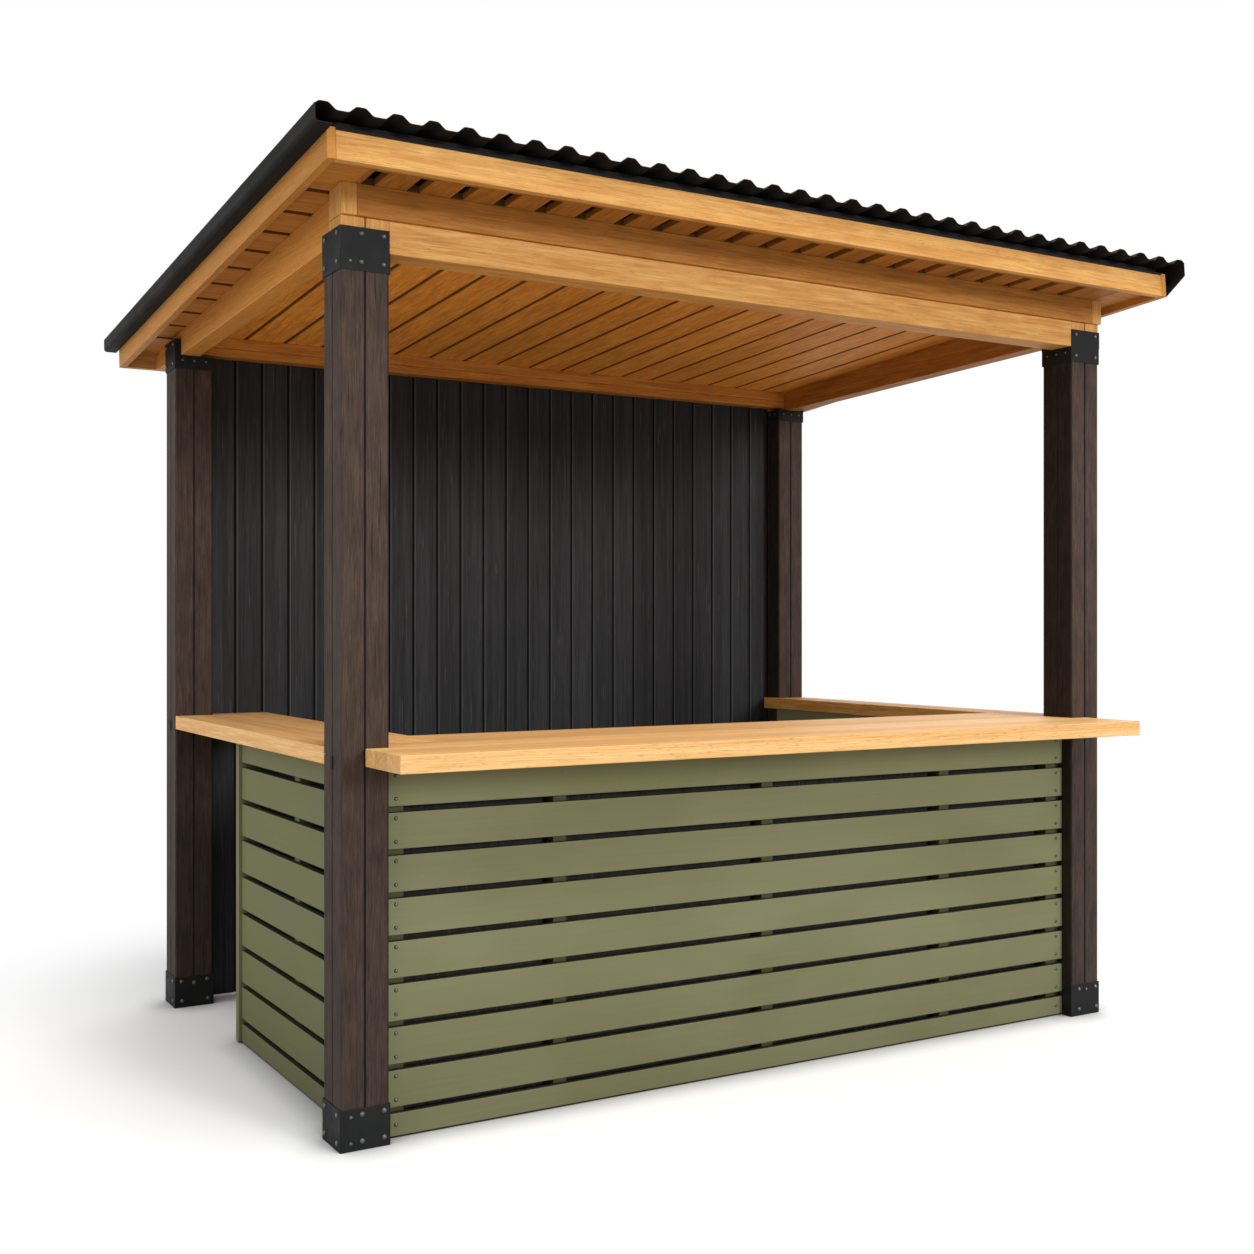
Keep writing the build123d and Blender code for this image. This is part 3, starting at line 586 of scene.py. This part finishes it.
def charcoal_board(name, boards=None, inside=False):
    """Charcoal stain on upright boards, with a few long scuffs.

    Each joint between boards is dark, with a painted highlight on the edge at its right. With inside, the
    faces turned to the middle of the bar are green.
    """
    wood = Finish(name, specular=0.15)
    lot = wood.lot(boards) if boards else None
    line = wood.grain("z", lot)
    fibre = wood.noise(line, WALL_FIBRES, detail=4.0, roughness=0.7)
    streak = wood.noise(line, WALL_STREAKS, roughness=0.6)
    scuff = wood.span(wood.noise(line, WALL_SCUFFS, detail=2.0, roughness=0.5), *SCUFF_LIMITS)
    colour = wood.cover(CHARCOAL_DEEP, CHARCOAL, wood.span(streak, *CLOUD_RANGE))
    colour = wood.shade(colour, wood.span(fibre, *FIBRE_RANGE, *WALL_LEVELS))
    if boards:
        colour = wood.shade(colour, wood.span(lot, 0.0, 1.0, *WALL_BOARD_LEVELS))
    colour = wood.cover(colour, CHARCOAL_WORN_AND_HIGHLIGHT, scuff, strength=0.35)
    if boards:
        # A painted highlight on the edge at each joint's right.
        lit_edge = wood.span(wood.past_joint(boards), WALL_SEAM + WALL_EDGE_HIGHLIGHT, WALL_SEAM)
        colour = wood.cover(colour, CHARCOAL_WORN_AND_HIGHLIGHT, lit_edge, strength=0.5)
        colour = wood.cover(colour, CHARCOAL_JOINT, wood.joint(boards, WALL_SEAM))
    if inside:
        normal = wood.add("NewGeometry").outputs["True Normal"]
        outward = wood.vector_math("DOT_PRODUCT", normal, wood.place)[1]
        colour = wood.cover(colour, GREEN_SHADE, wood.span(outward, *INSIDE_TURN))
    rough = wood.span(fibre, *GLOSS_RANGE, *WALL_ROUGHNESS)
    return wood.finish(colour, rough, fibre, WALL_RELIEF)


def black_steel():
    """Powder coat: a fine orange peel, dull patches and rubbed folds."""
    steel = Finish("black_steel", specular=0.1)
    peel = steel.noise(steel.place, STEEL_PEEL, detail=2.0)
    patch = steel.noise(steel.place, STEEL_PATCHES)
    colour = steel.shade(STEEL[:3], steel.span(patch, *PATCH_RANGE, *STEEL_LEVELS))
    colour = steel.cover(colour, STEEL_WORN, steel.worn(STEEL_WEAR), strength=0.6)
    # Darker toward the ground: painted shade.
    colour = steel.ground_shade(colour, *STEEL_GROUND_SHADE)
    rough = steel.span(patch, *PATCH_RANGE, *STEEL_ROUGHNESS)
    return steel.finish(colour, rough, peel, STEEL_RELIEF)


def black_sheet():
    """Coated sheet with faint dust that has run down the slope."""
    sheet = Finish("black_sheet", specular=0.1)
    line = sheet.grain("y")
    run = sheet.noise(line, SHEET_RUNS, roughness=0.6)
    patch = sheet.noise(line, SHEET_PATCHES)
    streaks = sheet.span(run, *DUST_RUN_LIMITS)
    dust = sheet.math("MULTIPLY", streaks, sheet.span(patch, *DUST_PATCH_LIMITS))
    colour = sheet.cover(SHEET_BLACK, SHEET_DUST, dust, strength=0.4)
    colour = sheet.cover(colour, SHEET_DUST, sheet.worn(SHEET_WEAR), strength=0.35)
    rough = sheet.span(patch, *PATCH_RANGE, *SHEET_ROUGHNESS)
    return sheet.finish(colour, rough, patch, SHEET_RELIEF)


def bolt_steel():
    """Bolt heads: blackened steel with a hard gloss, a little scratched."""
    steel = Finish("bolt_steel", specular=0.7)
    scratch = steel.noise(steel.place, BOLT_SCRATCHES, detail=2.0)
    patch = steel.noise(steel.place, BOLT_PATCHES, detail=2.0)
    colour = steel.shade(BOLT_STEEL[:3], steel.span(patch, *PATCH_RANGE, *BOLT_LEVELS))
    rough = steel.span(scratch, *PATCH_RANGE, *BOLT_ROUGHNESS)
    return steel.finish(colour, rough, scratch, BOLT_RELIEF)


def dress(material, *names):
    for name in names:
        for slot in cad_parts[name].material_slots:
            slot.material = material


def pair(*names):
    return [f"{name}_{side}" for name in names for side in ("left", "right")]


def wall_boards():
    """The boards of the back wall, which share its width evenly."""
    low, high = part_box("back_wall")
    width = high.x - low.x
    return Boards("X", width / round(width / WALL_BOARD), low.x)


def post_places():
    front_low, front_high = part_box("post_front_right")
    rear_low, rear_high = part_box("post_rear_right")
    front = (front_low.y + front_high.y) / 2
    rear = (rear_low.y + rear_high.y) / 2
    return Posts((front_low.x + front_high.x) / 2, (rear - front) / 2, (rear + front) / 2)


def dress_timber(posts):
    """Timber by the way its grain runs. Each piece's tone and level are painted light and shade: amber and
    low levels for pieces in shade, a high level for the ceiling.
    """
    ceiling = Boards("X", CEILING_BOARD, CEILING_START)
    counter = Boards("Y", COUNTER_STAVE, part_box("counter_front")[0].y)
    wing = Boards("X", COUNTER_STAVE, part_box("counter_left")[0].x)
    dress(timber("timber_across", "x", LIGHT, level=0.9),
          "front_beam_lower", "fascia_front", "fascia_rear", "roof_battens")
    dress(timber("timber_eave_beam_painted_shade", "x", AMBER_PAINTED_SHADE, level=0.7), "front_beam_upper")
    dress(timber("timber_rear_beam_painted_shade", "x", AMBER_PAINTED_SHADE, level=0.82), "rear_beam")
    dress(timber("timber_upright", "z", LIGHT, level=0.86), "corner_blocks")
    dress(timber("timber_post_head", "z", LIGHT, level=0.86, posts=posts), "post_heads")
    dress(timber("timber_barge", "y", WARM_PAINTED_SHADE, level=0.82), *pair("barge_board"))
    dress(timber("timber_side_beam", "y", WARM_PAINTED_SHADE, level=1.0), "side_beam_left")
    dress(timber("timber_far_beam_painted_shade", "y", AMBER_PAINTED_SHADE, level=0.68), "side_beam_right")
    dress(timber("timber_ceiling_painted_light_and_shade", "y", AMBER_PAINTED_SHADE, level=1.34, boards=ceiling, spread=0.05,
                 recess_shade=(0.3, 0.2), seam=CEILING_SEAM), "ceiling_boards")
    dress(timber("timber_eaves_painted_shade", "y", AMBER_PAINTED_SHADE, level=0.58, boards=ceiling, recess_shade=(0.15, 0.8)),
          "soffit_front", "soffit_rear")
    dress(timber("timber_verge_painted_shade", "x", AMBER_PAINTED_SHADE, level=0.8, recess_shade=(0.9, 0.6)), *pair("soffit"))
    dress(timber("timber_counter", "x", OILED, level=0.97, boards=counter, spread=0.09,
                 mottles=COUNTER_MOTTLES), "counter_front")
    dress(timber("timber_wing", "y", OILED, level=1.1, boards=wing, spread=0.06,
                 mottles=WING_MOTTLES), "counter_left")
    dress(timber("timber_far_wing_painted_shade", "y", LIGHT, level=0.8, boards=wing, spread=0.06), "counter_right")


def dress_paint_and_steel(posts):
    dress(stained_post(posts), *pair("post_front", "post_rear"))
    dress(green_paint("green_across", "x"), "front_slats")
    # Side slats darker than the front ones: painted shade.
    dress(green_paint("green_side_painted_shade", "y", dark=0.07, main=GREEN_SIDE_PAINTED_SHADE), "left_slats", "right_slats")
    dress(green_paint("green_upright", "z"), "left_uprights", "right_uprights")
    # Uprights behind the front slats, much darker: painted shade.
    dress(green_paint("green_behind_painted_shade", "z", dark=0.75), "front_uprights")
    dress(charcoal_board("charcoal_wall", wall_boards()), "back_wall")
    dress(charcoal_board("charcoal_plain"), "back_wall_rails")
    dress(charcoal_board("charcoal_lining", inside=True), "panel_linings")
    dress(black_steel(), *pair("shoe_front", "shoe_rear", "cap_front", "cap_rear"))
    dress(black_sheet(), "roof_sheet", "eave_flashings", *pair("verge_flashing"))


post_layout = post_places()
dress_timber(post_layout)
dress_paint_and_steel(post_layout)


# Eased edges

def ease(width, *names, segments=2):
    """Rounds the edges of CAD nodes a little, as planed, folded or sanded edges are."""
    for name in names:
        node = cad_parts[name]
        node.modifiers.new("weld", "WELD").merge_threshold = SAME_POINT
        flat = node.modifiers.new("flat", "DECIMATE")
        flat.decimate_type = "DISSOLVE"
        flat.angle_limit = math.radians(FLAT_ANGLE)
        bevel = node.modifiers.new("ease", "BEVEL")
        bevel.width = width
        bevel.segments = segments
        bevel.limit_method = "ANGLE"
        bevel.angle_limit = math.radians(EASE_ANGLE)
        bevel.harden_normals = True
        node.modifiers.new("normals", "WEIGHTED_NORMAL").keep_sharp = True


ease(COUNTER_EASE, "counter_front", *pair("counter"), segments=3)
ease(BEAM_EASE, "front_beam_lower", "front_beam_upper", "rear_beam", "fascia_front", "fascia_rear",
     "post_heads", "corner_blocks", *pair("side_beam", "barge_board"))
ease(BOARD_EASE, "ceiling_boards", "soffit_front", "soffit_rear", *pair("soffit"))
ease(SLAT_EASE, "front_slats", "left_slats", "right_slats",
     "front_uprights", "left_uprights", "right_uprights")
ease(POST_EASE, *pair("post_front", "post_rear"), "back_wall", "back_wall_rails", "panel_linings")
ease(PLATE_EASE, *pair("shoe_front", "shoe_rear", "cap_front", "cap_rear"))


# Bolts and screws

def facing(place, outward):
    """A frame at a place on a surface, its Z along the surface's outward direction."""
    turn = Vector(outward).to_track_quat("Z", "Y").to_matrix().to_4x4()
    return Matrix.Translation(Vector(place) - SEAT * Vector(outward)) @ turn


def ring(mesh, matrix, radius, height, count):
    corners = []
    for i in range(count):
        angle = 2 * math.pi * i / count
        point = Vector((radius * math.cos(angle), radius * math.sin(angle), height))
        corners.append(mesh.verts.new(matrix @ point))
    return corners


def walls(mesh, rings):
    """Closes the first of a row of rings, and joins each to the next."""
    mesh.faces.new(list(reversed(rings[0])))
    for low, high in zip(rings, rings[1:]):
        for i in range(len(low)):
            j = (i + 1) % len(low)
            mesh.faces.new((low[i], low[j], high[j], high[i]))


def lathe(mesh, matrix, profile, count):
    """A closed turned form, from a profile of radius and height that ends on the axis."""
    rings = [ring(mesh, matrix, radius, height, count) for radius, height in profile[:-1]]
    walls(mesh, rings)
    top = mesh.verts.new(matrix @ Vector((0.0, 0.0, profile[-1][1])))
    for i in range(count):
        mesh.faces.new((rings[-1][i], rings[-1][(i + 1) % count], top))


def dome(mesh, place, outward, radius):
    """A domed bolt head on a short collar."""
    rise = DOME_RISE_SHARE * radius
    collar = COLLAR_RISE_SHARE * rise
    profile = [(radius, 0.0), (radius, SEAT + collar)]
    for step in range(1, DOME_RINGS + 1):
        angle = math.pi / 2 * step / (DOME_RINGS + 1)
        profile.append((radius * math.cos(angle), SEAT + collar + (rise - collar) * math.sin(angle)))
    profile.append((0.0, SEAT + rise))
    lathe(mesh, facing(place, outward), profile, ROUND_SIDES)


def roofing_screw(mesh, place, outward):
    """A hexagon head on a washer."""
    matrix = facing(place, outward)
    lathe(mesh, matrix, [(WASHER, 0.0), (WASHER, WASHER_RISE), (0.0, WASHER_RISE)], ROUND_SIDES)
    shoulder = WASHER_RISE + HEX_RISE
    top = shoulder + SEAT
    head = [(HEX_HEAD, WASHER_RISE), (HEX_HEAD, shoulder), (HEX_TOP_SHARE * HEX_HEAD, top), (0.0, top)]
    lathe(mesh, matrix, head, HEX_SIDES)


def piece(name, mesh, material, smooth=True):
    """A finished piece that stays with the bar."""
    data = bpy.data.meshes.new(name)
    mesh.to_mesh(data)
    mesh.free()
    data.materials.append(material)
    if smooth:
        data.shade_smooth()
    else:
        data.shade_flat()
    made = bpy.data.objects.new(name, data)
    bpy.context.scene.collection.objects.link(made)
    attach(made, "root")


def outer_side(low):
    """-1 for a box at the left of the bar, and 1 at the right."""
    return -1 if low.x < 0 else 1


def plate_bolts(mesh, low, high, axis, sign, shares):
    """Bolts on one upright face of a box, placed by shares of its width and height."""
    across = 1 - axis
    outward = Vector((0.0, 0.0, 0.0))
    outward[axis] = sign
    for width_share, height_share, radius in shares:
        place = Vector(low)
        place[axis] = high[axis] if sign > 0 else low[axis]
        place[across] = low[across] + width_share * (high[across] - low[across])
        place.z = low.z + height_share * (high.z - low.z)
        dome(mesh, place, outward, radius)


def shoe_bolts(material):
    mesh = bmesh.new()
    for name, shares in SHOE_FACE_SHARES.items():
        low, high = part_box(name)
        outer = outer_side(low)
        plate_bolts(mesh, low, high, 1, -1, shares)
        plate_bolts(mesh, low, high, 1, 1, CORNER_SHARES)
        plate_bolts(mesh, low, high, 0, outer, CORNER_SHARES)
        plate_bolts(mesh, low, high, 0, -outer, SHOE_INNER_SHARES)
    piece("shoe_bolts", mesh, material)


def cap_bolts(material):
    mesh = bmesh.new()
    for name in pair("cap_front", "cap_rear"):
        low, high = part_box(name)
        outer = outer_side(low)
        plate_bolts(mesh, low, high, 0, outer, CORNER_SHARES)
        plate_bolts(mesh, low, high, 0, -outer, SLEEVE_SHARES)
        plate_bolts(mesh, low, high, 1, -1, CAP_FACE_SHARES.get(name, SLEEVE_SHARES))
        plate_bolts(mesh, low, high, 1, 1, SLEEVE_SHARES)
    piece("cap_bolts", mesh, material)


def tie_plate(mesh, place, outward):
    """An upright plate with round ends and an eased face."""
    matrix = facing(place, outward)
    sideways = Vector((-outward[1], outward[0], 0.0))
    rings = []
    for inset, height in ((0.0, 0.0), (0.0, SEAT + TIE_SIDE_SHARE * TIE_RISE), (TIE_EDGE, SEAT + TIE_RISE)):
        middle = matrix @ Vector((0.0, 0.0, height))
        radius = TIE_WIDTH - inset
        corners = []
        for i in range(TIE_SIDES):
            angle = 2 * math.pi * (i + 0.5) / TIE_SIDES
            shift = math.copysign(TIE_HEIGHT - TIE_WIDTH, math.sin(angle))
            rise = Vector((0.0, 0.0, radius * math.sin(angle) + shift))
            corners.append(mesh.verts.new(middle + sideways * radius * math.cos(angle) + rise))
        rings.append(corners)
    walls(mesh, rings)
    mesh.faces.new(rings[-1])


def post_ties(plate_material, bolt_material):
    """A tie plate and a bolt on the outer face of each post, at the counter."""
    plates = bmesh.new()
    heads = bmesh.new()
    for name in pair("post_front", "post_rear"):
        low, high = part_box(name)
        outward = (outer_side(low), 0.0, 0.0)
        face = low.x if low.x < 0 else high.x
        middle = (low.y + high.y) / 2
        tie_plate(plates, (face, middle, TIE_LEVEL), outward)
        place = (face, middle + TIE_BOLT_SHARE * (high.y - low.y), TIE_LEVEL + TIE_HEIGHT)
        dome(heads, place, outward, SMALL_BOLT)
    piece("post_tie_plates", plates, plate_material, smooth=False)
    piece("post_tie_bolts", heads, bolt_material)


def islands(name):
    """The separate solids of a node, each as a list of its corners."""
    mesh = bmesh.new()
    mesh.from_mesh(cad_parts[name].data)
    bmesh.ops.remove_doubles(mesh, verts=mesh.verts, dist=SAME_POINT)
    left = set(mesh.verts)
    found = []
    while left:
        group = {left.pop()}
        edge = set(group)
        while edge:
            edge = {e.other_vert(v) for v in edge for e in v.link_edges} - group
            group |= edge
        left -= group
        found.append([v.co.copy() for v in group])
    mesh.free()
    return sorted(found, key=lambda corners: sum(map(tuple, corners), ()))


def limits(corners):
    lows = Vector([min(c[i] for c in corners) for i in range(3)])
    highs = Vector([max(c[i] for c in corners) for i in range(3)])
    return lows, highs


def slat_heights(low, high, full):
    """Heights of the screws at a slat's end: two, or one where the slat is cut down."""
    height = high.z - low.z
    shares = SLAT_SCREW_SHARES if height > CUT_SLAT_SHARE * full else CUT_SLAT_SCREW_SHARES
    return [low.z + share * height for share in shares]


def slat_screws(material):
    """Screws at both ends of the front slats. The side slats show none."""
    mesh = bmesh.new()
    slats = [limits(corners) for corners in islands("front_slats")]
    full = max(high.z - low.z for low, high in slats)
    for low, high in slats:
        for end in (low.x + SLAT_SCREW_INSET, high.x - SLAT_SCREW_INSET):
            for level in slat_heights(low, high, full):
                dome(mesh, (end, low.y, level), (0.0, -1.0, 0.0), SLAT_SCREW)
    piece("slat_screws", mesh, material)


def roof_screws(material):
    """Screws in every second valley of the sheet, over each batten."""
    front_low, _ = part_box("fascia_front")
    rear_low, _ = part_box("fascia_rear")
    slope = math.atan2(front_low.z - rear_low.z, rear_low.y - front_low.y)
    along = Vector((0.0, math.cos(slope), -math.sin(slope)))
    normal = Vector((0.0, math.sin(slope), math.cos(slope)))
    sheet_low, sheet_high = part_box("roof_sheet")
    span = sheet_high.x - sheet_low.x - 2 * EDGE_TURN_WIDTH - RIB_CREST
    ribs = round(span / RIB_PITCH)
    mesh = bmesh.new()
    for corners in islands("roof_battens"):
        places = [corner.dot(along) for corner in corners]
        middle = (min(places) + max(places)) / 2
        level = max(corner.dot(normal) for corner in corners) + SHEET
        for i in range(0, ribs, 2):
            x = (i - (ribs - 1) / 2) * span / ribs
            roofing_screw(mesh, Vector((x, 0.0, 0.0)) + middle * along + level * normal, normal)
    piece("roof_screws", mesh, material, smooth=False)


bolts = bolt_steel()
shoe_bolts(bolts)
cap_bolts(bolts)
post_ties(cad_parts["cap_front_left"].material_slots[0].material, bolts)
slat_screws(bolts)
roof_screws(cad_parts["roof_sheet"].material_slots[0].material)


# Stage

def floor_material():
    """Pale floor that keeps the shadow near the bar and turns to plain white far from it."""
    floor = Finish("floor", specular=0.1)
    path = floor.add("LightPath").outputs
    seen = floor.math("MAXIMUM", path["Is Camera Ray"], path["Is Glossy Ray"])
    seen = floor.math("MAXIMUM", seen, path["Is Transmission Ray"])
    level = floor.span(seen, 0.0, 1.0, FLOOR_BOUNCE, FLOOR_LEVEL)
    contact = floor.add("AmbientOcclusion", {"samples": CONTACT_SAMPLES}, Distance=CONTACT_REACH)
    level = floor.math("MULTIPLY", level, floor.math("POWER", contact.outputs["AO"], CONTACT_STRENGTH))
    grey = floor.add("CombineXYZ", None, X=level, Y=level, Z=level).outputs[0]
    floor.put(floor.shader.inputs["Base Color"], grey)
    floor.put(floor.shader.inputs["Roughness"], FLOOR_ROUGHNESS)
    distance = floor.add("VectorMath", {"operation": "LENGTH"}, in_0=floor.place).outputs[1]
    far = floor.span(distance, FADE_START, FADE_END)
    white = floor.add("Emission").outputs[0]
    blend = floor.add("MixShader", None, in_0=floor.math("MULTIPLY", far, seen))
    floor.put(blend.inputs[1], floor.shader.outputs[0])
    floor.put(blend.inputs[2], white)
    floor.put(floor.tree.nodes["Material Output"].inputs["Surface"], blend.outputs[0])
    return floor.material


def add_floor():
    mesh = bmesh.new()
    bmesh.ops.create_grid(mesh, x_segments=1, y_segments=1, size=FLOOR_REACH)
    data = bpy.data.meshes.new("floor")
    mesh.to_mesh(data)
    mesh.free()
    data.materials.append(floor_material())
    floor = bpy.data.objects.new("floor", data)
    bpy.context.scene.collection.objects.link(floor)


def add_world():
    """White to the camera and in reflections, and an even soft light on everything."""
    world = bpy.data.worlds.new("studio")
    world.use_nodes = True
    bpy.context.scene.world = world
    tree = world.node_tree
    background = tree.nodes["Background"]
    background.inputs["Color"].default_value = (1.0, 1.0, 1.0, 1.0)
    path = tree.nodes.new("ShaderNodeLightPath")
    seen = path.outputs["Is Camera Ray"]
    for name in ("Is Glossy Ray", "Is Transmission Ray"):
        either = tree.nodes.new("ShaderNodeMath")
        either.operation = "MAXIMUM"
        tree.links.new(seen, either.inputs[0])
        tree.links.new(path.outputs[name], either.inputs[1])
        seen = either.outputs[0]
    level = tree.nodes.new("ShaderNodeMapRange")
    level.inputs["To Min"].default_value = SKY_LEVEL
    level.inputs["To Max"].default_value = 1.0
    tree.links.new(seen, level.inputs["Value"])
    tree.links.new(level.outputs[0], background.inputs["Strength"])


def add_lamp(name, level, azimuth, elevation, spread):
    """A broad, even lamp far away. A white face square to it gains its level."""
    data = bpy.data.lights.new(name, "SUN")
    data.energy = level * math.pi
    data.angle = math.radians(spread)
    lamp = bpy.data.objects.new(name, data)
    turn = math.radians(azimuth)
    rise = math.radians(elevation)
    towards = Vector((math.sin(turn) * math.cos(rise), -math.cos(turn) * math.cos(rise), math.sin(rise)))
    lamp.rotation_euler = towards.to_track_quat("Z", "Y").to_euler()
    bpy.context.scene.collection.objects.link(lamp)


def add_camera():
    data = bpy.data.cameras.new("camera")
    data.sensor_width = CAMERA_SENSOR
    data.lens = CAMERA_LENS
    camera = bpy.data.objects.new("camera", data)
    camera.location = CAMERA_PLACE
    camera.rotation_euler = (math.radians(CAMERA_TILT), 0.0, math.radians(CAMERA_TURN))
    bpy.context.scene.collection.objects.link(camera)
    bpy.context.scene.camera = camera


add_floor()
add_world()
for lamp_name, lamp_settings in LAMPS.items():
    add_lamp(lamp_name, *lamp_settings)
add_camera()
bpy.context.scene.view_settings.view_transform = "Standard"
